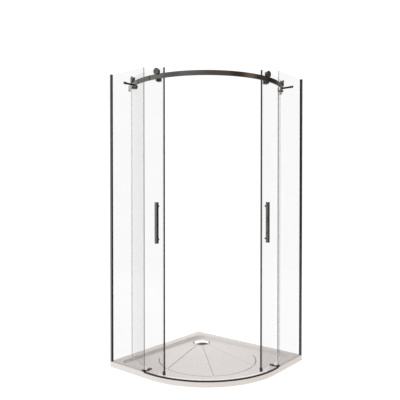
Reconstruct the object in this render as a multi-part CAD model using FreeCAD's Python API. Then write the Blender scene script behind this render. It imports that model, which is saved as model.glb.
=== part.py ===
import FreeCAD, Part
import math
import os
from FreeCAD import Vector

# Corner shower enclosure: a quadrant tray with two flat fixed panes and two curved sliding doors.
# Millimetres, +Z up. The tray's two straight sides against the walls are x = -half and y = +half.
# Every piece of the left side is mirrored in the upright plane through the corner and the front.

# Tray
straight_run = 350.0
front_radius = 550.0
tray_height = 35.0
tray_edge_round = 2.0
wall_rim = 55.0
front_rim = 30.0
bowl_wall_run = 24.0
bowl_front_run = 6.0
bowl_base_z = 8.0
bowl_back_round = 60.0
bowl_tip_round = 50.0
bowl_base_tip_round = 36.0
floor_low_z = 14.0
floor_fall = 0.01
groove_width = 5.0
groove_depth = 2.0
groove_spread = 25.4
groove_apex_shift = 20.0
groove_start = 100.0
ring_shift = 23.0
ring_radius = 321.0
ring_half_sweep = 100.0
ring_break = 1.3

# Waste
waste_wall_distance = 160.0
waste_hole_radius = 45.0
waste_seat_radius = 60.0
waste_seat_depth = 5.0
waste_seal_thickness = 1.5
waste_seal_width = 10.0
waste_rim_radius = 57.0
waste_rim_thickness = 2.5
waste_spigot_radius = 43.0
waste_upper_bore = 40.0
waste_lower_bore = 36.0
waste_lower_length = 8.0
waste_spigot_length = 12.0
cover_radius = 62.0
cover_rise = 8.0
cover_thickness = 2.0
cover_slot = 3.0
cover_collar_gap = 0.3
cover_collar_wall = 3.0
cover_collar_drop = 3.0
cover_foot_radius = 3.0
cover_foot_count = 4

# Fixed panes and wall profiles
enclosure_height = 1850.0
glass_thickness = 8.0
glass_inset = 7.0
pane_setback = 45.0
base_gasket_height = 2.0
profile_depth = 14.0
profile_width = 14.0
profile_wall = 1.6
profile_round = 1.0
profile_glass_gap = 3.0
profile_cap_thickness = 2.0
profile_hole_radius = 2.6
profile_hole_inner_spacing = 500.0
profile_hole_outer_spacing = 1500.0
gasket_nose = 0.6

# Doors
door_inset = 44.0
door_base_gap = 5.5
door_seal_height = 3.0
door_over_axle = 21.2
door_wall_clearance = 10.0
door_overlap = 13.0
door_meeting_gap = 1.0
magnet_thickness = 6.0
seal_wall = 1.0
seal_gap = 0.3
seal_leg = 8.0
rear_guard_nose = 3.0
rear_guard_leg = 8.0
rear_guard_lift = 20.0
foot_reach_in = 4.0
foot_reach_out = 1.5
foot_length = 12.0
foot_drop = 6.5
foot_height = 22.0

# Rail, its wall sockets and its stand-offs
rail_drop = 47.5
rail_height = 30.0
rail_thickness = 8.0
rail_round = 1.5
rail_clearance = 1.5
socket_wall = 2.0
socket_grip = 10.0
socket_web = 4.0
socket_screw_room = 5.0
socket_hole_radius = 2.2
socket_hole_spacing = 16.0
standoff_wall_distance = 138.0
standoff_radius = 6.0
standoff_rise = 7.5
standoff_collar_radius = 7.5
standoff_collar_length = 6.0
standoff_cap_length = 4.0
standoff_shank_radius = 4.0
standoff_shank_depth = 10.0
standoff_hole_radius = 5.5
washer_thickness = 1.0
stop_wall = 2.5
stop_length = 14.0
stop_rise = 20.0
stop_grip = 15.0
stop_gap = 0.5

# Rollers and their hangers
tread_radius = 15.0
wheel_lift = 0.3
flange_radius = 20.0
flange_thickness = 7.0
flange_gap = 0.5
wheel_side_gap = 0.4
wheel_edge = 1.0
axle_radius = 5.0
axle_clearance = 0.05
axle_tail_radius = 4.0
axle_head_radius = 7.0
axle_head_depth = 2.0
axle_head_gap = 0.1
hanger_thickness = 4.0
hanger_head_radius = 16.0
hanger_foot_radius = 9.0
pad_thickness = 1.0
front_hanger_setback = 39.0
rear_hanger_setback = 143.0
anti_lift_gap = 1.2
anti_lift_radius = 6.5
anti_lift_length = 14.0
anti_lift_round = 1.5
bolt_radius = 4.0
bolt_hole_radius = 6.0
clamp_width = 28.0
clamp_height = 24.0
clamp_rise = 7.0
clamp_round = 3.0
clamp_thickness = 8.0
clamp_thread_depth = 6.0

# Handles
handle_side = 18.0
handle_length = 250.0
handle_round = 2.0
handle_middle_height = 909.0
handle_setback = 45.0
handle_bolt_spacing = 200.0
handle_bolt_radius = 3.0
handle_bolt_depth = 10.0
handle_bolt_head_radius = 6.0
handle_bolt_head_height = 2.5
handle_hole_radius = 5.0

# Threshold strip and door guides
strip_width = 10.0
strip_rise = 3.0
strip_drop = 5.5
strip_round = 2.0
guide_front = 2.0
guide_length = 20.0
guide_edge = 1.0
guide_lug = 4.0
guide_base = 1.5
guide_height = 10.0
guide_lean = 14.0
guide_slot_gap = 1.0

# Places that follow from the sizes above
side = straight_run + front_radius
half = side / 2
centre = Vector(straight_run - half, half - straight_run, 0)
up = Vector(0, 0, 1)
outward = Vector(1, 0, 0)
top_of_profile = tray_height + enclosure_height - profile_cap_thickness
pane_base = tray_height + base_gasket_height
pane_line = half - glass_inset
pane_outer = -(pane_line + glass_thickness / 2)
pane_inner = -(pane_line - glass_thickness / 2)
pane_end = centre.x - pane_setback

door_outer = front_radius - door_inset
door_inner = door_outer - glass_thickness
door_middle = door_outer - glass_thickness / 2
door_base = tray_height + door_base_gap

hanger_inner = door_outer + pad_thickness
hanger_outer = hanger_inner + hanger_thickness
rail_inner = hanger_outer + rail_clearance
rail_outer = rail_inner + rail_thickness
rail_top = top_of_profile - rail_drop
rail_base = rail_top - rail_height
axle_z = rail_top + tread_radius + wheel_lift
door_top = axle_z + door_over_axle
bolt_z = rail_base - anti_lift_gap - anti_lift_radius
standoff_z = rail_base + standoff_rise
standoff_x = standoff_wall_distance - half


def arc_angle(length, radius):
    return math.degrees(length / radius)


# Angles are counted from the front of the enclosure, where the two doors meet; the doors' circle faces the
# wall squarely at wall_square.
wall_square = 135.0


def wall_angle(distance, radius):
    return math.degrees(math.acos(-distance / radius)) - 45


meeting = arc_angle(door_meeting_gap / 2, door_middle)
magnet_angle = arc_angle(magnet_thickness, door_middle)
closed_rear = wall_angle(pane_setback, door_outer) + arc_angle(door_overlap, door_outer)
door_span = closed_rear - magnet_angle - meeting
open_rear = wall_angle(straight_run - door_wall_clearance, door_outer)
open_front = open_rear - door_span
magnet_front = open_front - magnet_angle
front_hanger_angle = open_front + arc_angle(front_hanger_setback, door_outer)
rear_hanger_angle = open_rear - arc_angle(rear_hanger_setback, door_outer)
handle_angle = open_front + arc_angle(handle_setback, door_outer)
hanger_angles = (front_hanger_angle, rear_hanger_angle)


def left(angle):
    return -45 - angle


def in_place(shape, angle=0.0):
    """Turn a shape modelled round the doors' axis and move it to that axis."""
    moved = shape.copy()
    moved.rotate(Vector(0, 0, 0), up, angle)
    moved.translate(centre)
    return moved


def mirrored(shape):
    return shape.mirror(Vector(0, 0, 0), Vector(1, 1, 0))


def save(name, *solids):
    shape = solids[0] if len(solids) == 1 else Part.makeCompound(list(solids))
    shape.exportStep("parts/" + name + ".step")


def save_pair(name, *solids):
    save("left_" + name, *solids)
    save("right_" + name, *[mirrored(solid) for solid in solids])


def block(low, high):
    return Part.makeBox(high[0] - low[0], high[1] - low[1], high[2] - low[2], Vector(*low))


def polygon_face(points):
    corners = [Vector(*point) for point in points]
    return Part.Face(Part.makePolygon(corners + corners[:1]))


def rounded_face(width, height, radius, middle):
    """A rounded rectangle in the YZ plane, width along Y and height along Z."""
    solid = Part.makeBox(1, width, height, middle - Vector(0, width / 2, height / 2))
    edges = [edge for edge in solid.Edges if abs(edge.tangentAt(edge.FirstParameter).x) > 0.5]
    rounded = solid.makeFillet(radius, edges)
    return [face for face in rounded.Faces if face.CenterOfMass.x < middle.x + 0.5
            and abs(face.normalAt(0, 0).x) > 0.5][0]


def ring_sector(inner, outer, first, last, low, high):
    face = polygon_face([(inner, 0, low), (outer, 0, low), (outer, 0, high), (inner, 0, high)])
    sector = face.revolve(Vector(0, 0, 0), up, last - first)
    sector.rotate(Vector(0, 0, 0), up, first)
    return sector


def left_sector(inner, outer, front, rear, low, high):
    return ring_sector(inner, outer, left(rear), left(front), low, high)


def radial_rod(radius, first, last, z):
    return Part.makeCylinder(radius, last - first, Vector(first, 0, z), outward)


def drum(radius, low, high):
    return Part.makeCylinder(radius, high - low, Vector(0, 0, low))


# Threshold strip: a low curved bar let into the tray's front edge, between the two door guides.
guide_first = pane_end + guide_front - guide_length
guide_last = pane_end + guide_front


def threshold_bar(rounding):
    low = front_radius - strip_width
    base = tray_height - strip_drop
    top = tray_height + strip_rise
    profile = polygon_face([(low, 0, base), (front_radius, 0, base), (front_radius, 0, top), (low, 0, top)])
    bend = profile.revolve(Vector(0, 0, 0), up, 90)
    bend.rotate(Vector(0, 0, 0), up, -90)
    straight = profile.extrude(Vector(0, centre.x - guide_last, 0))
    straight.rotate(Vector(0, 0, 0), up, -90)
    straight.translate(Vector(guide_last - centre.x, 0, 0))
    straight = in_place(straight)
    bar = in_place(bend).fuse(straight).fuse(mirrored(straight)).removeSplitter()
    if rounding > 0:
        along = [edge for edge in bar.Edges
                 if abs(edge.BoundBox.ZMin - top) < 1e-6 and edge.Length > 2 * strip_width]
        bar = bar.makeFillet(rounding, along)
    return bar


def make_threshold():
    return threshold_bar(strip_round)


# Tray: a stone-resin slab with a rounded front, a shallow bowl that falls to the waste on a cone,
# and fine grooves that lead the water from a ring on the floor to the waste.
def tray_outline(wall_inset, front_inset, back_round, tip_round, z):
    west = wall_inset - half
    south = front_inset - half
    east = half - front_inset
    north = half - wall_inset
    radius = front_radius - front_inset
    edges = []

    def line(start, end):
        if start.distanceToPoint(end) > 1e-6:
            edges.append(Part.LineSegment(start, end).toShape())

    def corner(start, corner_point, end, radius):
        if radius > 0:
            inward = (start + end - corner_point * 2).normalize()
            bulge = corner_point + inward * (radius * (math.sqrt(2) - 1))
            edges.append(Part.Arc(start, bulge, end).toShape())

    front_left = Vector(west, south, z)
    front_right = Vector(east, north, z)
    back = Vector(west, north, z)
    arc_start = Vector(centre.x, south, z)
    arc_end = Vector(east, centre.y, z)
    arc_middle = centre + Vector(radius / math.sqrt(2), -radius / math.sqrt(2), z)
    line(front_left + Vector(tip_round, 0, 0), arc_start)
    edges.append(Part.Arc(arc_start, arc_middle, arc_end).toShape())
    line(arc_end, front_right - Vector(0, tip_round, 0))
    corner(front_right - Vector(0, tip_round, 0), front_right,
           front_right - Vector(tip_round, 0, 0), tip_round)
    line(front_right - Vector(tip_round, 0, 0), back + Vector(back_round, 0, 0))
    corner(back + Vector(back_round, 0, 0), back, back - Vector(0, back_round, 0), back_round)
    line(back - Vector(0, back_round, 0), front_left + Vector(0, tip_round, 0))
    corner(front_left + Vector(0, tip_round, 0), front_left, front_left + Vector(tip_round, 0, 0), tip_round)
    return Part.Wire(edges)


waste = Vector(waste_wall_distance - half, half - waste_wall_distance, 0)
waste_seat_z = floor_low_z - waste_seat_depth


def above_floor(depth):
    """The funnel of space over the falling floor, lowered by depth."""
    rise = tray_height - floor_low_z + depth + 1
    tip = waste + Vector(0, 0, floor_low_z - depth)
    return Part.makeCone(0, rise / floor_fall, rise, tip)


def make_tray():
    slab = Part.Face(tray_outline(0, 0, 0, 0, 0)).extrude(Vector(0, 0, tray_height))
    front_edges = []
    for edge in slab.Edges:
        middle = edge.CenterOfMass
        on_wall = middle.x < 1 - half or middle.y > half - 1
        if abs(edge.BoundBox.ZMin - tray_height) < 1e-6 and not on_wall:
            front_edges.append(edge)
    slab = slab.makeFillet(tray_edge_round, front_edges)
    mouth = tray_outline(wall_rim, front_rim, bowl_back_round, bowl_tip_round, tray_height)
    base = tray_outline(wall_rim + bowl_wall_run, front_rim + bowl_front_run,
                        bowl_back_round - bowl_wall_run, bowl_base_tip_round, bowl_base_z)
    bowl = Part.makeLoft([base, mouth], True, True).common(above_floor(0))
    tray = slab.cut(bowl)
    apex = waste + Vector(-groove_apex_shift, groove_apex_shift, 0)
    middle = Vector(-ring_shift, ring_shift, 0)
    inside = drum(ring_radius, 0, tray_height)
    inside.translate(middle)
    cutters = []
    for turn in (-groove_spread, 0, groove_spread):
        groove = block((groove_start, -groove_width / 2, 0), (side, groove_width / 2, tray_height))
        groove.rotate(Vector(0, 0, 0), up, turn - 45)
        groove.translate(apex)
        cutters.append(groove.common(inside))
    behind = (apex - middle).Length
    sideways = behind * math.sin(math.radians(groove_spread))
    crossing = groove_spread + math.degrees(math.asin(sideways / ring_radius))
    stops = (-ring_half_sweep, -crossing, 0, crossing, ring_half_sweep)
    for first, last in zip(stops, stops[1:]):
        arc = ring_sector(ring_radius - groove_width / 2, ring_radius + groove_width / 2,
                          first + ring_break - 45, last - ring_break - 45, 0, tray_height)
        arc.translate(middle)
        cutters.append(arc)
    for cutter in cutters:
        tray = tray.cut(cutter.common(above_floor(groove_depth)))
    seat = Part.makeCylinder(waste_seat_radius, tray_height, waste + Vector(0, 0, waste_seat_z))
    hole = Part.makeCylinder(waste_hole_radius, tray_height, waste)
    return tray.cut(seat).cut(hole).cut(threshold_bar(0))


# Waste: a flange clamps a seal on the tray's seat, and a domed cover lifts out of it.
seal_top = waste_seat_z + waste_seal_thickness
rim_top = seal_top + waste_rim_thickness
spigot_base = rim_top - waste_spigot_length
lower_bore_top = spigot_base + waste_lower_length


def turned(points):
    face = polygon_face([(waste.x + radius, waste.y, z) for radius, z in points])
    return face.revolve(waste, up, 360)


def make_waste_flange():
    return turned([
        (waste_lower_bore, spigot_base), (waste_spigot_radius, spigot_base), (waste_spigot_radius, seal_top),
        (waste_rim_radius, seal_top), (waste_rim_radius, rim_top), (waste_upper_bore, rim_top),
        (waste_upper_bore, lower_bore_top), (waste_lower_bore, lower_bore_top)])


def make_waste_seal():
    outer = waste_rim_radius - 1
    return turned([(outer - waste_seal_width, waste_seat_z), (outer, waste_seat_z), (outer, seal_top),
                   (outer - waste_seal_width, seal_top)])


def make_waste_cover():
    edge_z = rim_top + cover_slot
    sphere_radius = (cover_radius ** 2 + cover_rise ** 2) / (2 * cover_rise)
    ball = waste + Vector(0, 0, edge_z + cover_thickness + cover_rise - sphere_radius)
    cover = Part.makeCylinder(cover_radius, cover_rise + cover_thickness, waste + Vector(0, 0, edge_z))
    cover = cover.common(Part.makeSphere(sphere_radius, ball))
    cover = cover.cut(Part.makeSphere(sphere_radius - cover_thickness, ball))
    collar_outer = waste_upper_bore - cover_collar_gap
    collar_low = waste + Vector(0, 0, rim_top - cover_collar_drop)
    collar_height = cover_collar_drop + cover_slot + cover_rise
    collar = Part.makeCylinder(collar_outer, collar_height, collar_low)
    collar = collar.cut(Part.makeCylinder(collar_outer - cover_collar_wall, collar_height, collar_low))
    pieces = []
    seat_circle = (waste_upper_bore + waste_rim_radius) / 2
    for number in range(cover_foot_count):
        turn = math.radians(360 / cover_foot_count * number)
        place = waste + Vector(seat_circle * math.cos(turn), seat_circle * math.sin(turn), rim_top)
        pieces.append(Part.makeCylinder(cover_foot_radius, cover_slot + cover_rise, place))
    dome = Part.makeSphere(sphere_radius - cover_thickness / 2, ball)
    for piece in [collar] + pieces:
        cover = cover.fuse(piece.common(dome))
    return cover.removeSplitter()


# Wall profile: an upright channel screwed to the wall through its web; the pane stands in two gaskets.
def make_wall_profile():
    height = top_of_profile - tray_height
    body = block((-half, -half, tray_height), (profile_depth - half, profile_width - half, top_of_profile))
    corners = [edge for edge in body.Edges if abs(edge.BoundBox.ZLength - height) < 1e-6]
    body = body.makeFillet(profile_round, corners)
    slot = block((profile_wall - half, profile_wall - half, tray_height),
                 (profile_depth - half, profile_width - profile_wall - half, top_of_profile))
    body = body.cut(slot)
    middle = tray_height + height / 2
    for spacing in (profile_hole_inner_spacing, profile_hole_outer_spacing):
        for z in (middle - spacing / 2, middle + spacing / 2):
            place = Vector(-half, -pane_line, z)
            hole = Part.makeCylinder(profile_hole_radius, profile_depth, place, outward)
            body = body.cut(hole)
    return body


def make_profile_cap():
    cap = block((-half, -half, top_of_profile),
                (profile_depth - half, profile_width - half, top_of_profile + profile_cap_thickness))
    corners = [edge for edge in cap.Edges if abs(edge.BoundBox.ZLength - profile_cap_thickness) < 1e-6]
    return cap.makeFillet(profile_round, corners)


def make_glazing_gaskets():
    first = profile_wall + profile_glass_gap - half
    last = profile_depth + gasket_nose - half
    strips = []
    for near, far in ((profile_wall - half, pane_outer), (pane_inner, profile_width - profile_wall - half)):
        strip = block((first, near, pane_base), (last, far, top_of_profile))
        nose = [edge for edge in strip.Edges
                if abs(edge.CenterOfMass.x - last) < 1e-6 and edge.BoundBox.ZLength > 1]
        strips.append(strip.makeFillet(gasket_nose, nose))
    return strips


# Fixed pane: flat toughened glass on a clear strip, drilled once for the rail's stand-off.
def make_fixed_glass():
    pane = block((profile_wall + profile_glass_gap - half, pane_outer, pane_base),
                 (pane_end, pane_inner, top_of_profile))
    hole = Part.makeCylinder(standoff_hole_radius, glass_thickness,
                             Vector(standoff_x, pane_outer, standoff_z), Vector(0, 1, 0))
    return pane.cut(hole)


def make_base_gasket():
    return block((profile_depth - half, pane_outer, tray_height), (pane_end, pane_inner, pane_base))


# Rail: one flat bar bent to the doors' circle; both ends stand in sockets that are screwed to the walls.
def wall_side(depth):
    """The space behind a plane that stands depth in front of the left wall."""
    return block((-2 * half, -2 * half, 0), (depth - half, 2 * half, 2 * top_of_profile))


rail_end = wall_angle(straight_run - socket_web - socket_screw_room, rail_outer)


def make_rail():
    profile = rounded_face(rail_thickness, rail_height, rail_round, Vector(0, 0, 0))
    profile.rotate(Vector(0, 0, 0), up, 90)
    profile.translate(Vector((rail_inner + rail_outer) / 2, 0, (rail_base + rail_top) / 2))
    bar = profile.revolve(Vector(0, 0, 0), up, 2 * rail_end)
    return in_place(bar, left(rail_end))


def make_rail_socket():
    first = rail_end - arc_angle(socket_grip, rail_outer)
    sleeve = left_sector(rail_inner - socket_wall, rail_outer + socket_wall, first, wall_square,
                         rail_base - socket_wall, rail_top + socket_wall)
    sleeve = in_place(sleeve).cut(wall_side(0))
    pocket = in_place(left_sector(rail_inner, rail_outer, first, wall_square, rail_base, rail_top))
    socket = sleeve.cut(pocket.cut(wall_side(socket_web)))
    middle = (rail_inner + rail_outer) / 2
    turn = math.radians(left(wall_angle(straight_run - socket_web / 2, middle)))
    hole_y = centre.y + middle * math.sin(turn)
    hole_z = (rail_base + rail_top) / 2
    for z in (hole_z - socket_hole_spacing / 2, hole_z + socket_hole_spacing / 2):
        hole = Part.makeCylinder(socket_hole_radius, socket_web, Vector(-half, hole_y, z), outward)
        socket = socket.cut(hole)
    return socket


# Stand-off: a round bar from the fixed pane to the rail, with a cap screw through the glass.
def make_standoff():
    start = Vector(standoff_x, pane_inner + washer_thickness, standoff_z)
    inward = Vector(0, 1, 0)
    rod = Part.makeCylinder(standoff_radius, half, start, inward)
    rod = rod.fuse(Part.makeCylinder(standoff_collar_radius, standoff_collar_length, start, inward))
    rod = rod.cut(in_place(drum(rail_outer, 0, 2 * top_of_profile)))
    socket = Part.makeCylinder(standoff_shank_radius, standoff_shank_depth, start, inward)
    return max(rod.Solids, key=lambda solid: solid.Volume).cut(socket)


def make_standoff_cap():
    face = pane_outer - washer_thickness
    inward = Vector(0, 1, 0)
    head = Part.makeCylinder(standoff_collar_radius, standoff_cap_length,
                             Vector(standoff_x, face - standoff_cap_length, standoff_z), inward)
    rim = [edge for edge in head.Edges if abs(edge.BoundBox.YMax - (face - standoff_cap_length)) < 1e-6]
    head = head.makeFillet(standoff_cap_length / 3, rim)
    length = washer_thickness * 2 + glass_thickness + standoff_shank_depth
    shank = Part.makeCylinder(standoff_shank_radius, length, Vector(standoff_x, face, standoff_z), inward)
    return head.fuse(shank).removeSplitter()


def make_standoff_washers():
    washers = []
    for y in (pane_outer - washer_thickness, pane_inner):
        place = Vector(standoff_x, y, standoff_z)
        washer = Part.makeCylinder(standoff_collar_radius, washer_thickness, place, Vector(0, 1, 0))
        hole = Part.makeCylinder(standoff_shank_radius, washer_thickness, place, Vector(0, 1, 0))
        washers.append(washer.cut(hole))
    return washers


# Door stop: a rubber saddle on the rail, just behind the rear roller of the open door.
def make_door_stop(rail):
    rail_middle = (rail_inner + rail_outer) / 2
    first = rear_hanger_angle + arc_angle(flange_radius + stop_gap, rail_middle)
    last = first + arc_angle(stop_length, rail_middle)
    saddle = left_sector(rail_inner - stop_wall, rail_outer + stop_wall, first, last,
                         rail_top - stop_grip, rail_top + stop_rise)
    return in_place(saddle).cut(rail)


# Door guide: a block on the pane's lower front corner, with one slot for the pane. It leans forward to a
# fork with a second slot, where the door's lower edge slides.
def make_guide():
    fork_first = guide_first + guide_lean
    fork_last = guide_last + guide_lean
    inner_lug = door_inner - guide_slot_gap - guide_lug
    inner_edge = centre.y - math.sqrt(inner_lug ** 2 - (fork_first + guide_length / 2 - centre.x) ** 2)
    outer_edge = guide_edge - half
    plan = [(guide_first, outer_edge), (guide_last, outer_edge), (guide_last, pane_inner),
            (fork_last, inner_edge), (fork_first, inner_edge), (guide_first, pane_inner)]
    body = polygon_face([(x, y, tray_height) for x, y in plan]).extrude(up * guide_height)
    upright = [edge for edge in body.Edges if edge.BoundBox.ZLength > 1]
    body = body.makeFillet(guide_lug / 3, upright)
    top = tray_height + guide_height
    base_top = tray_height + guide_base
    pane_slot = block((guide_first, pane_outer, tray_height), (pane_end, pane_inner, top))
    door_slot = in_place(drum(door_outer + guide_slot_gap, base_top, top).cut(
        drum(door_inner - guide_slot_gap, base_top, top)))
    between = block((guide_first, pane_inner + guide_lug, base_top), (fork_last, inner_edge, top))
    between = between.cut(in_place(drum(door_outer + guide_slot_gap + guide_lug, base_top, top)))
    return body.cut(pane_slot).cut(door_slot).cut(between)


# Door: curved glass drilled for its hanger bolts and handle, with a magnetic strip on the front edge,
# clear seals on its other edges and a dark foot at the lower front corner.
handle_z = tray_height + handle_middle_height
handle_bolt_heights = (handle_z - handle_bolt_spacing / 2, handle_z + handle_bolt_spacing / 2)


def make_door_glass():
    glass = in_place(left_sector(door_inner, door_outer, open_front, open_rear, door_base, door_top))
    for angle in hanger_angles:
        glass = glass.cut(in_place(radial_rod(bolt_hole_radius, 0, front_radius, bolt_z), left(angle)))
    for z in handle_bolt_heights:
        glass = glass.cut(in_place(radial_rod(handle_hole_radius, 0, front_radius, z), left(handle_angle)))
    return glass


foot_base = tray_height - foot_drop
foot_top = foot_base + foot_height
foot_angle = arc_angle(foot_length, door_middle)


def make_magnet():
    return in_place(left_sector(door_inner, door_outer, magnet_front, open_front, foot_top, door_top))


def make_front_seal():
    rear = open_front + arc_angle(seal_leg, door_middle)
    legs = []
    for inner in (door_outer + seal_gap, door_inner - seal_gap - seal_wall):
        legs.append(in_place(left_sector(inner, inner + seal_wall, magnet_front, rear, foot_top, door_top)))
    return legs


def make_rear_guard():
    nose = open_rear + arc_angle(rear_guard_nose, door_middle)
    front = open_rear - arc_angle(rear_guard_leg, door_middle)
    shell = left_sector(door_inner - seal_wall, door_outer + seal_wall, front, nose,
                        door_base + rear_guard_lift, door_top)
    glass = left_sector(door_inner, door_outer, front, open_rear, door_base, door_top)
    return in_place(shell.cut(glass))


def make_door_seal():
    return in_place(left_sector(door_inner, door_outer, magnet_front + foot_angle, open_rear,
                                door_base - door_seal_height, door_base))


def make_edge_foot():
    foot = left_sector(door_inner - foot_reach_in, door_outer + foot_reach_out, magnet_front,
                       magnet_front + foot_angle, foot_base, foot_top)
    glass = left_sector(door_inner, door_outer, open_front, open_rear, door_base, door_top)
    return in_place(foot.cut(glass))


# Hanger: a flat strap behind the rail. Its head carries the roller's axle and its foot is bolted through
# the glass to a clamp block; the bolt's long head reaches under the rail, so the door can't jump off.
def strap_face(x, spread=0.0):
    head = hanger_head_radius - spread
    foot = hanger_foot_radius - spread
    lean = (head - foot) / (axle_z - bolt_z)
    across = math.sqrt(1 - lean ** 2)
    upper = Vector(x, head * across, axle_z + head * lean)
    lower = Vector(x, foot * across, bolt_z + foot * lean)
    flip = Vector(x, -upper.y, upper.z)
    lower_flip = Vector(x, -lower.y, lower.z)
    return Part.Face(Part.Wire([
        Part.Arc(upper, Vector(x, 0, axle_z + head), flip).toShape(),
        Part.LineSegment(flip, lower_flip).toShape(),
        Part.Arc(lower_flip, Vector(x, 0, bolt_z - foot), lower).toShape(),
        Part.LineSegment(lower, upper).toShape()]))


def make_hanger(angle):
    strap = strap_face(hanger_inner).extrude(outward * hanger_thickness)
    strap = strap.cut(radial_rod(axle_tail_radius, hanger_inner, hanger_outer, axle_z))
    strap = strap.cut(radial_rod(bolt_radius, hanger_inner, hanger_outer, bolt_z))
    return in_place(strap, left(angle))


clamp_face = door_inner - pad_thickness


def make_hanger_pads():
    depth = 2 * pad_thickness
    outer = strap_face(hanger_inner - depth).extrude(outward * depth).cut(drum(door_outer, 0, 2 * door_top))
    outer = outer.cut(radial_rod(bolt_radius, 0, front_radius, bolt_z))
    middle = Vector(clamp_face, 0, bolt_z + clamp_rise)
    inner = rounded_face(clamp_width, clamp_height, clamp_round, middle)
    inner = inner.extrude(outward * depth).common(drum(door_inner, 0, 2 * door_top))
    inner = inner.cut(radial_rod(bolt_radius, 0, front_radius, bolt_z))
    return [in_place(pad, left(angle)) for angle in hanger_angles for pad in (outer, inner)]


def make_hanger_bolts():
    head = radial_rod(anti_lift_radius, hanger_outer, hanger_outer + anti_lift_length, bolt_z)
    tip = [edge for edge in head.Edges if edge.BoundBox.XMin > hanger_outer + anti_lift_length - 1e-6]
    head = head.makeFillet(anti_lift_round, tip)
    bolt = head.fuse(radial_rod(bolt_radius, clamp_face - clamp_thread_depth, hanger_outer, bolt_z))
    return [in_place(bolt, left(angle)) for angle in hanger_angles]


def make_hanger_clamps():
    back = Vector(clamp_face - clamp_thickness, 0, bolt_z + clamp_rise)
    clamp = rounded_face(clamp_width, clamp_height, clamp_round, back)
    clamp = clamp.extrude(outward * clamp_thickness)
    clamp = clamp.cut(radial_rod(bolt_radius, clamp_face - clamp_thread_depth, clamp_face, bolt_z))
    return [in_place(clamp, left(angle)) for angle in hanger_angles]


# Roller: a flanged wheel that runs on the rail's top edge, on an axle riveted into the hanger's head.
wheel_inner = hanger_outer + wheel_side_gap
flange_inner = rail_outer + flange_gap
wheel_outer = flange_inner + flange_thickness
head_seat = wheel_outer - axle_head_depth


def make_wheel(angle):
    bore = axle_radius + axle_clearance
    recess = axle_head_radius + wheel_edge
    points = [
        (wheel_inner, bore), (wheel_inner, tread_radius - wheel_edge),
        (wheel_inner + wheel_edge, tread_radius),
        (flange_inner, tread_radius), (flange_inner, flange_radius - wheel_edge),
        (flange_inner + wheel_edge, flange_radius), (wheel_outer - wheel_edge, flange_radius),
        (wheel_outer, flange_radius - wheel_edge), (wheel_outer, recess), (head_seat, recess),
        (head_seat, bore)]
    face = polygon_face([(x, 0, axle_z + radius) for x, radius in points])
    wheel = face.revolve(Vector(0, 0, axle_z), outward, 360)
    return in_place(wheel, left(angle))


def make_axles():
    axle = radial_rod(axle_tail_radius, hanger_inner, hanger_outer, axle_z)
    axle = axle.fuse(radial_rod(axle_radius, hanger_outer, head_seat + axle_head_gap, axle_z))
    axle = axle.fuse(radial_rod(axle_head_radius, head_seat + axle_head_gap, wheel_outer, axle_z))
    return [in_place(axle, left(angle)) for angle in hanger_angles]


# Handle: a square bar that sits flat on the outer face of the door, held by two screws from inside.
def make_handle():
    face = door_outer - handle_round
    bar = block((face, -handle_side / 2, handle_z - handle_length / 2),
                (door_outer + handle_side, handle_side / 2, handle_z + handle_length / 2))
    bar = bar.makeFillet(handle_round, bar.Edges)
    bar = bar.cut(drum(door_outer, 0, 2 * door_top))
    for z in handle_bolt_heights:
        bar = bar.cut(radial_rod(handle_bolt_radius, 0, door_outer + handle_bolt_depth, z))
    return in_place(bar, left(handle_angle))


def make_handle_bolts():
    bolts = []
    for z in handle_bolt_heights:
        head = radial_rod(handle_bolt_head_radius, door_inner - handle_bolt_head_height, door_outer, z)
        head = head.common(drum(door_inner, 0, 2 * door_top))
        shank = radial_rod(handle_bolt_radius, door_inner - handle_bolt_head_height,
                           door_outer + handle_bolt_depth, z)
        bolts.append(in_place(head.fuse(shank).removeSplitter(), left(handle_angle)))
    return bolts


os.makedirs("parts", exist_ok=True)

save("shower_tray", make_tray())
save("waste_flange", make_waste_flange())
save("waste_seal", make_waste_seal())
save("waste_cover", make_waste_cover())

save_pair("wall_profile", make_wall_profile())
save_pair("profile_cap", make_profile_cap())
left_gaskets = make_glazing_gaskets()
save("glazing_gaskets", *left_gaskets, *[mirrored(gasket) for gasket in left_gaskets])
save_pair("fixed_glass", make_fixed_glass())
save("base_gaskets", make_base_gasket(), mirrored(make_base_gasket()))

curved_rail = make_rail()
save("curved_rail", curved_rail)
save_pair("rail_socket", make_rail_socket())
save_pair("rail_standoff", make_standoff())
save("standoff_caps", make_standoff_cap(), mirrored(make_standoff_cap()))
left_washers = make_standoff_washers()
save("standoff_washers", *left_washers, *[mirrored(washer) for washer in left_washers])
save_pair("door_stop", make_door_stop(curved_rail))
save("threshold_strip", make_threshold())
save_pair("door_guide", make_guide())

save_pair("door_glass", make_door_glass())
save_pair("magnet_strip", make_magnet())
save_pair("front_seal", *make_front_seal())
save_pair("rear_guard", make_rear_guard())
save_pair("door_seal", make_door_seal())
save_pair("edge_foot", make_edge_foot())
save_pair("handle", make_handle())
save_pair("handle_bolts", *make_handle_bolts())
save_pair("front_hanger", make_hanger(front_hanger_angle))
save_pair("rear_hanger", make_hanger(rear_hanger_angle))
save_pair("hanger_pads", *make_hanger_pads())
save_pair("hanger_bolts", *make_hanger_bolts())
save_pair("hanger_clamps", *make_hanger_clamps())
save_pair("roller_axles", *make_axles())
save_pair("front_wheel", make_wheel(front_hanger_angle))
save_pair("rear_wheel", make_wheel(rear_hanger_angle))
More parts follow.
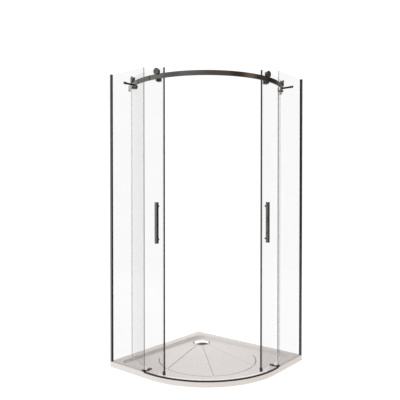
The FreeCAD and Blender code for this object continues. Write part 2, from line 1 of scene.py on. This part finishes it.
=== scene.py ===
import bpy
import math
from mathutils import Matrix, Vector

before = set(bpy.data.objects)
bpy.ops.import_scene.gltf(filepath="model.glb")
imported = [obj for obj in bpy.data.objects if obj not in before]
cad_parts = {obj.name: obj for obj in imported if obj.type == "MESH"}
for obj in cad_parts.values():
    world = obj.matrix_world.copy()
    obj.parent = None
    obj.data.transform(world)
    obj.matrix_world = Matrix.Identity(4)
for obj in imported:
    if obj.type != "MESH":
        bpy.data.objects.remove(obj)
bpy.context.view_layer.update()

# Shower tray. One slab cast in stone resin, a filled polyester: the rim is smooth and the floor of the bowl
# has a fine slate grain against slipping. It stands on the floor with its two straight sides at the walls.


def linear(code):
    """A colour given as an sRGB hex code, in the linear values that shaders take, with full cover."""
    parts = [int(code[i:i + 2], 16) / 255 for i in (1, 3, 5)]
    return [c / 12.92 if c <= 0.04045 else ((c + 0.055) / 1.055) ** 2.4 for c in parts] + [1.0]


def add(tree, kind, inputs=None, **settings):
    """Add one shader node with its settings and links.

    An input is a plain value, another node's output, or a node, which stands for its first output in use.
    """
    node = tree.nodes.new("ShaderNode" + kind)
    for name, value in settings.items():
        setattr(node, name, value)
    for name, value in (inputs or {}).items():
        if isinstance(value, bpy.types.Node):
            value = next(output for output in value.outputs if output.enabled)
        if isinstance(value, bpy.types.NodeSocket):
            tree.links.new(value, node.inputs[name])
        else:
            node.inputs[name].default_value = value
    return node


def new_finish(name):
    """A material with an empty node tree, and that tree."""
    material = bpy.data.materials.new(name)
    material.use_nodes = True
    tree = material.node_tree
    tree.nodes.clear()
    return material, tree


def give(material, *nodes):
    """Put a finish on CAD pieces."""
    for node in nodes:
        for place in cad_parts[node].material_slots:
            place.material = material


# Stone resin: matt and warm off-white, with grey flecks of about 1 mm that are drawn at 5 mm to show. The
# front rim at the way in has a painted highlight. The grooves, 2 mm deep, have painted shade: the ring most,
# then the left-hand one and the middle one, and hardly any the right-hand one, which lies along the light.
fleck_size = 0.005
fleck_depth = 0.0006
cloud_size = 0.12
rim_height = 0.035
just_under_rim = 0.0005
well_under_rim = 0.002
floor_at_waste = 0.014
floor_rise = 0.01
groove_start = 0.0005
groove_full = 0.0013
waste_spot = (-0.29, 0.29, 0)
ring_centre = (-0.023, 0.023, 0)
ring_radius = 0.321
ring_half_width = 0.003
between_grooves_start = 0.02
between_grooves_end = 0.06
front_centre = (-0.1, 0.1, 0)
front_rim_start = 0.517
way_in = (0.289, -0.289, 0)
way_in_half = 0.36
no_height = (1, 1, 0)
rightward = (1, 1, 0)
stone, tree = new_finish("stone_resin_cast")
where = add(tree, "TexCoord").outputs["Object"]
facing = add(tree, "NewGeometry").outputs["Normal"]
up_part = add(tree, "SeparateXYZ", {"Vector": facing}).outputs["Z"]
height = add(tree, "SeparateXYZ", {"Vector": where}).outputs["Z"]
plan = add(tree, "VectorMath", {0: where, 1: no_height}, operation="MULTIPLY")

# The rim and the floor are level; the floor lies below the rim.
level = add(tree, "MapRange", {"Value": up_part, "From Min": 0.97, "From Max": 0.995})
below_rim = add(tree, "MapRange", {"Value": height, "From Min": rim_height - just_under_rim,
                                   "From Max": rim_height - well_under_rim})
on_floor = add(tree, "Math", {0: level, 1: below_rim}, operation="MULTIPLY")
on_rim = add(tree, "Math", {0: level, 1: on_floor}, operation="SUBTRACT")

# The floor rises by 1 % away from the waste, and what lies under it is a groove.
waste_reach = add(tree, "VectorMath", {0: plan, 1: waste_spot}, operation="DISTANCE")
floor_height = add(tree, "Math", {0: waste_reach, 1: floor_rise, 2: floor_at_waste}, operation="MULTIPLY_ADD")
sunk = add(tree, "Math", {0: floor_height, 1: height}, operation="SUBTRACT")
deep = add(tree, "MapRange", {"Value": sunk, "From Min": groove_start, "From Max": groove_full})
in_groove = add(tree, "Math", {0: deep, 1: on_floor}, operation="MULTIPLY")
ring_reach = add(tree, "VectorMath", {0: plan, 1: ring_centre}, operation="DISTANCE")
in_ring = add(tree, "Math", {0: ring_reach, 1: ring_radius, 2: ring_half_width}, operation="COMPARE")
sideways = add(tree, "VectorMath", {0: plan, 1: rightward}, operation="DOT_PRODUCT")
past_left = add(tree, "MapRange", {"Value": sideways, "From Min": -between_grooves_end,
                                   "From Max": -between_grooves_start})
past_middle = add(tree, "MapRange", {"Value": sideways, "From Min": between_grooves_start,
                                     "From Max": between_grooves_end})

# The stretch of the front rim at the way in, which is painted with a highlight.
front_reach = add(tree, "VectorMath", {0: plan, 1: front_centre}, operation="DISTANCE")
in_front = add(tree, "Math", {0: front_reach, 1: front_rim_start}, operation="GREATER_THAN")
way_reach = add(tree, "VectorMath", {0: plan, 1: way_in}, operation="DISTANCE")
in_way = add(tree, "Math", {0: way_reach, 1: way_in_half}, operation="LESS_THAN")
front_highlight_mask = add(tree, "Math", {0: in_front, 1: in_way}, operation="MULTIPLY")

flecks = add(tree, "TexNoise", {"Vector": where, "Scale": 1 / fleck_size, "Detail": 4.0, "Roughness": 0.7})
grain = add(tree, "MapRange", {"Value": flecks, "From Min": 0.35, "From Max": 0.65})
clouds = add(tree, "TexNoise", {"Vector": where, "Scale": 1 / cloud_size, "Detail": 2.0})
side_tone = add(tree, "Mix", {"Factor": clouds, "A": linear("#e9e4e0"), "B": linear("#e2dcd8")},
                data_type="RGBA")
# Painted shade and light by facing: the bowl's sloped walls take one flat tone, and the rim's top a greyer
# one than the upright faces.
upturn_painted_mask = add(tree, "MapRange", {"Value": up_part, "From Min": 0.15, "From Max": 0.35})
clouds_and_painted_wall_shade = add(tree, "Mix", {"Factor": upturn_painted_mask, "A": side_tone, "B": linear("#e4dfdc")}, data_type="RGBA")
# The rim's top at the way in is painted near white as a highlight.
rim_shade_and_highlight = add(tree, "Mix", {"Factor": front_highlight_mask, "A": linear("#d8d3d0"), "B": linear("#fdfbf9")},
               data_type="RGBA")
smooth_tone = add(tree, "Mix", {"Factor": on_rim, "A": clouds_and_painted_wall_shade, "B": rim_shade_and_highlight}, data_type="RGBA")
floor_tone = add(tree, "Mix", {"Factor": grain, "A": linear("#c7c2c1"), "B": linear("#f2eeed")},
                 data_type="RGBA")
clean_tone = add(tree, "Mix", {"Factor": on_floor, "A": smooth_tone, "B": floor_tone}, data_type="RGBA")
# Painted shade in the grooves: the ring darkest, then the left-hand groove and the middle one, while the
# right-hand one, which lies along the light, is left near the floor's tone.
groove_shade_tone = add(tree, "Mix", {"Factor": past_left, "A": linear("#8a8482"), "B": linear("#b2acaa")},
                  data_type="RGBA")
groove_line_shade = add(tree, "Mix", {"Factor": past_middle, "A": groove_shade_tone, "B": linear("#e6e2e1")},
                data_type="RGBA")
painted_groove_shade = add(tree, "Mix", {"Factor": in_ring, "A": groove_line_shade, "B": linear("#4a4543")}, data_type="RGBA")
tone = add(tree, "Mix", {"Factor": in_groove, "A": clean_tone, "B": painted_groove_shade}, data_type="RGBA")
grip = add(tree, "Math", {0: grain, 1: on_floor}, operation="MULTIPLY")
bump = add(tree, "Bump", {"Height": grip, "Strength": 0.3, "Distance": fleck_depth})
skin = add(tree, "BsdfPrincipled", {"Base Color": tone, "Roughness": 0.55, "IOR": 1.5, "Normal": bump})
add(tree, "OutputMaterial", {"Surface": skin})
give(stone, "shower_tray")

# Waste. A chromed brass flange is screwed down on a rubber ring; the domed cover is pressed and chromed too,
# and lies loose on the flange so that the trap can be cleaned.

# Chrome plate: a bright mirror with a slight haze in clouds of about 20 mm. From 51 mm out from the waste's
# middle the chrome is painted dark as shade and made rougher, all round except at the front.
haze_size = 0.02
edge_start = 0.051
edge_full = 0.057
bright_front_start = 0.01
bright_front_full = 0.035
frontward = (0.707, -0.707, 0)
chrome, tree = new_finish("chrome_plate")
where = add(tree, "TexCoord").outputs["Object"]
from_waste = add(tree, "VectorMath", {0: where, 1: waste_spot}, operation="SUBTRACT")
spoke = add(tree, "VectorMath", {0: from_waste, 1: no_height}, operation="MULTIPLY")
reach = add(tree, "VectorMath", {0: spoke}, operation="LENGTH")
# Painted shade at the cover's edge, left off towards the front.
at_edge = add(tree, "MapRange", {"Value": reach, "From Min": edge_start, "From Max": edge_full})
forward = add(tree, "VectorMath", {0: spoke, 1: frontward}, operation="DOT_PRODUCT")
off_front_mask = add(tree, "MapRange", {"Value": forward, "From Min": bright_front_full, "From Max": bright_front_start})
edge_shade_mask = add(tree, "Math", {0: at_edge, 1: off_front_mask}, operation="MULTIPLY")
haze = add(tree, "TexNoise", {"Vector": where, "Scale": 1 / haze_size, "Detail": 3.0})
polish = add(tree, "MapRange", {"Value": haze, "To Min": 0.06, "To Max": 0.14})
rough = add(tree, "Mix", {"Factor": edge_shade_mask, "A": polish, "B": 0.4}, data_type="FLOAT")
tone = add(tree, "Mix", {"Factor": edge_shade_mask, "A": linear("#e6e4e2"), "B": linear("#45423f")}, data_type="RGBA")
skin = add(tree, "BsdfPrincipled", {"Base Color": tone, "Metallic": 1.0, "Roughness": rough})
add(tree, "OutputMaterial", {"Surface": skin})
give(chrome, "waste_cover", "waste_flange")

# Black EPDM rubber, moulded or extruded: dull, with a faint bloom in spots of about 8 mm.
bloom_size = 0.008
rubber, tree = new_finish("rubber_black")
where = add(tree, "TexCoord").outputs["Object"]
bloom = add(tree, "TexNoise", {"Vector": where, "Scale": 1 / bloom_size, "Detail": 3.0})
tone = add(tree, "Mix", {"Factor": bloom, "A": linear("#232221"), "B": linear("#34322f")}, data_type="RGBA")
skin = add(tree, "BsdfPrincipled", {"Base Color": tone, "Roughness": 0.7, "IOR": 1.52})
add(tree, "OutputMaterial", {"Surface": skin})
give(rubber, "waste_seal", "glazing_gaskets", "standoff_washers", "left_door_stop", "right_door_stop")

# Wall profiles. Extruded aluminium channels with caps, screwed upright to the walls. Their gunmetal coating
# is brushed along the length, as it is on the rail and the handles.
hair_line = 0.003
hair_depth = 0.0003
rough_spread = 0.06
upright_lines = (1, 1, 0.02)


def gunmetal(name, dark, light, stretch, middle_rough):
    """Gunmetal coating with hair lines about 0.5 mm wide, drawn at 3 mm to show.

    stretch is 0.02 along the lines and 1 across them, or 1 every way for an even satin.
    """
    material, tree = new_finish(name)
    where = add(tree, "TexCoord").outputs["Object"]
    along = add(tree, "Mapping", {"Vector": where, "Scale": stretch})
    lines = add(tree, "TexNoise", {"Vector": along, "Scale": 1 / hair_line, "Detail": 3.0})
    tone = add(tree, "Mix", {"Factor": lines, "A": linear(dark), "B": linear(light)}, data_type="RGBA")
    rough = add(tree, "MapRange", {"Value": lines, "To Min": middle_rough - rough_spread,
                                   "To Max": middle_rough + rough_spread})
    bump = add(tree, "Bump", {"Height": lines, "Strength": 0.08, "Distance": hair_depth})
    skin = add(tree, "BsdfPrincipled", {"Base Color": tone, "Metallic": 0.9, "Roughness": rough,
                                        "Normal": bump})
    add(tree, "OutputMaterial", {"Surface": skin})
    return material


upright_metal = gunmetal("gunmetal_brushed_upright", "#606060", "#7a7978", upright_lines, 0.32)
give(upright_metal, "left_wall_profile", "right_wall_profile", "left_profile_cap", "right_profile_cap")

# Fixed panes. Clear float glass, 8 mm, toughened and with polished edges. Each stands in the wall profile's
# gaskets on a cloudy strip of PVC.
film_size = 0.15
least_veil = 0.067
most_veil = 0.083
slant_start = 0.86
slant_full = 0.9
slant_cover = 0.45
door_middle_radius = 0.502


def clear_glass(name, face_way, edge_cover):
    """Toughened glass: a thin grey veil on each face, and polished edges that look grey where upright.

    face_way is the way the two faces look, or None for glass curved about the doors' axis. Curved glass also
    darkens on its outer face where that turns away, because the look through it there is long. edge_cover is
    how much of what lies behind them the upright edges hide.
    """
    material, tree = new_finish(name)
    where = add(tree, "TexCoord").outputs["Object"]
    facing = add(tree, "NewGeometry").outputs["Normal"]
    film = add(tree, "TexNoise", {"Vector": where, "Scale": 1 / film_size, "Detail": 2.0})
    veil = add(tree, "MapRange", {"Value": film, "To Min": least_veil, "To Max": most_veil})
    if face_way is None:
        from_axis = add(tree, "VectorMath", {0: where, 1: front_centre}, operation="SUBTRACT")
        spoke = add(tree, "VectorMath", {0: from_axis, 1: no_height}, operation="MULTIPLY")
        face_way = add(tree, "VectorMath", {0: spoke}, operation="NORMALIZE")
        radius = add(tree, "VectorMath", {0: spoke}, operation="LENGTH")
        outer = add(tree, "Math", {0: radius, 1: door_middle_radius}, operation="GREATER_THAN")
        slant = add(tree, "LayerWeight", {"Blend": 0.5}).outputs["Facing"]
        turned = add(tree, "MapRange", {"Value": slant, "From Min": slant_start, "From Max": slant_full,
                                        "To Max": slant_cover})
        veil = add(tree, "Math", {0: outer, 1: turned, 2: veil}, operation="MULTIPLY_ADD")
    across = add(tree, "VectorMath", {0: facing, 1: face_way}, operation="DOT_PRODUCT")
    squareness = add(tree, "Math", {0: across}, operation="ABSOLUTE")
    on_edge = add(tree, "MapRange", {"Value": squareness, "From Min": 0.8, "From Max": 0.5})
    up_part = add(tree, "SeparateXYZ", {"Vector": facing}).outputs["Z"]
    lying = add(tree, "Math", {0: up_part}, operation="ABSOLUTE")
    standing = add(tree, "Math", {0: 1.0, 1: lying}, operation="SUBTRACT")
    upright_edge = add(tree, "Math", {0: on_edge, 1: standing}, operation="MULTIPLY")
    cover = add(tree, "Mix", {"Factor": upright_edge, "A": veil, "B": edge_cover}, data_type="FLOAT")
    tone = add(tree, "Mix", {"Factor": upright_edge, "A": linear("#303232"), "B": linear("#868a89")},
               data_type="RGBA")
    rough = add(tree, "MapRange", {"Value": film, "To Min": 0.02, "To Max": 0.08})
    skin = add(tree, "BsdfPrincipled", {"Base Color": tone, "Roughness": rough, "IOR": 1.5,
                                        "Specular IOR Level": 0.2, "Alpha": cover})
    add(tree, "OutputMaterial", {"Surface": skin})
    return material


give(clear_glass("toughened_glass_left_pane", (0, 1, 0), 0.85), "left_fixed_glass")
give(clear_glass("toughened_glass_right_pane", (1, 0, 0), 0.6), "right_fixed_glass")
flow_line = 0.004
flow_stretch = (1, 1, 0.03)


def clear_pvc(name, shade, least_cover, most_cover):
    """Extruded PVC of the seals, more or less clear: flow lines about 1 mm wide, drawn at 4 mm to show."""
    material, tree = new_finish(name)
    where = add(tree, "TexCoord").outputs["Object"]
    along = add(tree, "Mapping", {"Vector": where, "Scale": flow_stretch})
    flow = add(tree, "TexNoise", {"Vector": along, "Scale": 1 / flow_line, "Detail": 2.0})
    cover = add(tree, "MapRange", {"Value": flow, "To Min": least_cover, "To Max": most_cover})
    rough = add(tree, "MapRange", {"Value": flow, "To Min": 0.15, "To Max": 0.3})
    skin = add(tree, "BsdfPrincipled", {"Base Color": linear(shade), "Roughness": rough, "IOR": 1.53,
                                        "Alpha": cover})
    add(tree, "OutputMaterial", {"Surface": skin})
    return material


give(clear_pvc("pvc_cloudy_extruded", "#d8d8d6", 0.16, 0.24), "base_gaskets")

# Threshold strip and door guides. The strip is a bent aluminium bar let into the tray's front edge; the
# guides are moulded blocks that hold the pane's lower corner and let the door's lower edge slide through.
level_lines = (0.02, 0.02, 1)
dark_metal = gunmetal("gunmetal_brushed_dark", "#342d2b", "#443c3a", level_lines, 0.4)
give(dark_metal, "threshold_strip")

# Glass-filled nylon, moulded in a spark-eroded tool: dark and satin, with fine pits drawn at 2 mm to show.
pit_size = 0.002
pit_depth = 0.0003
nylon, tree = new_finish("nylon_moulded_dark")
where = add(tree, "TexCoord").outputs["Object"]
pits = add(tree, "TexNoise", {"Vector": where, "Scale": 1 / pit_size, "Detail": 2.0})
tone = add(tree, "Mix", {"Factor": pits, "A": linear("#151313"), "B": linear("#242120")}, data_type="RGBA")
bump = add(tree, "Bump", {"Height": pits, "Strength": 0.15, "Distance": pit_depth})
skin = add(tree, "BsdfPrincipled", {"Base Color": tone, "Roughness": 0.45, "IOR": 1.53, "Normal": bump})
add(tree, "OutputMaterial", {"Surface": skin})
give(nylon, "left_door_guide", "right_door_guide")

# Rail. A flat steel bar rolled to the doors' circle and brushed along its length. Its ends stand in sockets
# at the walls, and one round stand-off on each side carries it from the fixed pane.
rail_metal = gunmetal("gunmetal_brushed_level", "#5c5a58", "#6d6a68", level_lines, 0.16)
give(rail_metal, "curved_rail", "left_rail_socket", "right_rail_socket")
give(dark_metal, "left_rail_standoff", "right_rail_standoff", "standoff_caps")

# Doors. Curved toughened glass of 8 mm with a dark magnetic strip bonded to the front edge in a clear seal, a
# dark foot at the lower corner, and clear seals along the rear and lower edges.
give(clear_glass("toughened_glass_curved", None, 0.35), "left_door_glass", "right_door_glass")
give(nylon, "left_magnet_strip", "right_magnet_strip", "left_edge_foot", "right_edge_foot")
give(clear_pvc("pvc_clear_extruded", "#4a4a49", 0.02, 0.05), "left_front_seal", "right_front_seal",
     "left_rear_guard", "right_rear_guard")
give(clear_pvc("pvc_white_extruded", "#fbfaf8", 0.25, 0.35), "left_door_seal", "right_door_seal")

# Hangers and rollers. Laser-cut straps behind the rail carry the turned wheels and are bolted through the
# glass to clamp blocks on the inside; the bolts' long heads reach under the rail. The straps are satin and
# the wheels duller.
even_satin = (1, 1, 1)
satin_metal = gunmetal("gunmetal_satin", "#636262", "#727171", even_satin, 0.2)
give(satin_metal, "left_front_hanger", "right_front_hanger", "left_rear_hanger", "right_rear_hanger",
     "left_hanger_bolts", "right_hanger_bolts", "left_hanger_clamps", "right_hanger_clamps")
turned_metal = gunmetal("gunmetal_turned", "#5a5959", "#686767", even_satin, 0.4)
give(turned_metal, "left_front_wheel", "right_front_wheel", "left_rear_wheel", "right_rear_wheel",
     "left_roller_axles", "right_roller_axles")

# Pads of grey silicone between the metal and the glass: soft, matt, a little uneven in spots of about 6 mm.
mottle_size = 0.006
silicone, tree = new_finish("silicone_grey_moulded")
where = add(tree, "TexCoord").outputs["Object"]
mottle = add(tree, "TexNoise", {"Vector": where, "Scale": 1 / mottle_size, "Detail": 2.0})
tone = add(tree, "Mix", {"Factor": mottle, "A": linear("#6a6a69"), "B": linear("#7c7b7a")}, data_type="RGBA")
skin = add(tree, "BsdfPrincipled", {"Base Color": tone, "Roughness": 0.6, "IOR": 1.41})
add(tree, "OutputMaterial", {"Surface": skin})
give(silicone, "left_hanger_pads", "right_hanger_pads")

# Handles. Square aluminium bars, finely brushed along their length, that sit flat on the outer face of each
# door. Two screws through the glass hold each of them from inside.
handle_metal = gunmetal("gunmetal_brushed_fine", "#606060", "#747372", upright_lines, 0.14)
give(handle_metal, "left_handle", "right_handle")
give(upright_metal, "left_handle_bolts", "right_handle_bolts")

# Studio. A white floor that glows, so that it takes no shadow, under a wide soft light: bright from the left,
# warmer from the right, and dimmer from the roof.
floor_side = 8
floor_drop = 0.0005
bpy.ops.object.select_all(action="DESELECT")
bpy.ops.mesh.primitive_plane_add(size=floor_side, location=(0, 0, -floor_drop))
floor = bpy.context.object
floor.name = "studio_floor"
paper, tree = new_finish("studio_paper")
skin = add(tree, "BsdfPrincipled", {"Base Color": linear("#3c3c3c"), "Roughness": 0.9,
                                    "Specular IOR Level": 0.0, "Emission Color": linear("#ffffff"),
                                    "Emission Strength": 1.06})
add(tree, "OutputMaterial", {"Surface": skin})
floor.data.materials.append(paper)

to_the_left = (-0.85, -0.3, 0.43)
world = bpy.data.worlds.new("studio_light")
bpy.context.scene.world = world
world.use_nodes = True
tree = world.node_tree
tree.nodes.clear()
way = add(tree, "TexCoord").outputs["Generated"]
left_part = add(tree, "VectorMath", {0: way, 1: to_the_left}, operation="DOT_PRODUCT")
wide_light = add(tree, "MapRange", {"Value": left_part, "From Min": 0.5, "From Max": 0.95,
                                    "To Min": 1.1, "To Max": 1.3})
up_part = add(tree, "SeparateXYZ", {"Vector": way}).outputs["Z"]
roof = add(tree, "MapRange", {"Value": up_part, "From Min": 0.45, "From Max": 0.8, "To Max": 0.33})
lit = add(tree, "Math", {0: wide_light, 1: roof}, operation="SUBTRACT")

# Places in the studio that differ from the wide light: the way to each one's middle, the cosines at which it
# begins and is full, and the light that it takes away. The last two are bright cards, which add light.
studio_places = (
    ((0.94, -0.34, 0.05), 0.3, 0.9, 0.5),          # the dim side of the room, at the camera's right
    ((0.969, -0.05, 0.24), 0.968, 0.9945, 0.5),    # a black flag on that side
    ((0.704, 0.704, 0.09), 0.89, 0.955, 0.6),      # the dark far right
    ((-0.4, 0.61, 0.68), 0.95, 0.985, 0.9),        # a gap over the backdrop
    ((0.2, 0.95, 0.2), 0.83, 0.95, 0.8),           # a doorway at the right of the backdrop
    ((-0.2, -0.95, 0.24), 0.955, 0.99, 0.4),       # a black flag at the left front
    ((0.937, 0.251, 0.24), 0.974, 0.9945, -0.35),  # a low card at the right
    ((0.75, 0.1, 0.65), 0.85, 0.97, -0.6),         # a high card at the right
)
for middle, begin, full, depth in studio_places:
    nearness = add(tree, "VectorMath", {0: way, 1: middle}, operation="DOT_PRODUCT")
    taken = add(tree, "MapRange", {"Value": nearness, "From Min": begin, "From Max": full, "To Max": depth})
    lit = add(tree, "Math", {0: lit, 1: taken}, operation="SUBTRACT")
least_light = 0.08
held = add(tree, "Math", {0: lit, 1: least_light}, operation="MAXIMUM")

# A small bright screen at the back left, and what the camera itself sees: the plain white of the backdrop.
to_the_screen = (-0.66, 0.69, 0.29)
backdrop_light = 1.1
screen_part = add(tree, "VectorMath", {0: way, 1: to_the_screen}, operation="DOT_PRODUCT")
screen = add(tree, "MapRange", {"Value": screen_part, "From Min": 0.93, "From Max": 0.97, "To Max": 0.4})
room_light = add(tree, "Math", {0: held, 1: screen}, operation="ADD")
warm = add(tree, "MapRange", {"Value": left_part, "From Min": 0.0, "From Max": -0.7})
room_tint = add(tree, "Mix", {"Factor": warm, "A": linear("#ffffff"), "B": linear("#f0d2bd")},
                data_type="RGBA")
seen = add(tree, "LightPath").outputs["Is Camera Ray"]
tint = add(tree, "Mix", {"Factor": seen, "A": room_tint, "B": linear("#ffffff")}, data_type="RGBA")
power = add(tree, "Mix", {"Factor": seen, "A": room_light, "B": backdrop_light}, data_type="FLOAT")
surround = add(tree, "Background", {"Color": tint, "Strength": power})
add(tree, "OutputWorld", {"Surface": surround})

# Soft box at the back left, turned to the part: it shines across the grooves and leaves the bowl's two back
# walls in shade. It doesn't show in mirrors or to the camera.
soft_box_place = Vector((-2.79, 1.74, 2.33))
bpy.ops.object.select_all(action="DESELECT")
bpy.ops.object.light_add(type="AREA", location=soft_box_place)
soft_box = bpy.context.object
soft_box.name = "soft_box"
soft_box.data.size = 1.4
soft_box.data.energy = 52.0
soft_box.rotation_euler = (-soft_box_place).to_track_quat("-Z", "Y").to_euler()
soft_box.visible_camera = False
soft_box.visible_glossy = False

# Camera. It stands where the photograph was taken from, 3.2 m from the tray's middle and 1.1 m up, almost
# level, with a 43.9 mm lens on a square frame of 36 mm.
tilt_down = 0.83
turn_left = 39.201
shot = bpy.data.cameras.new("shot")
shot.sensor_width = 36.0
shot.lens = 43.927
shot.shift_y = 0.00757
camera = bpy.data.objects.new("shot", shot)
camera.location = (1.988515, -2.522277, 1.106208)
camera.rotation_euler = (math.radians(90 - tilt_down), 0, math.radians(turn_left))
bpy.context.scene.collection.objects.link(camera)
bpy.context.scene.camera = camera
bpy.context.scene.view_settings.view_transform = "Standard"
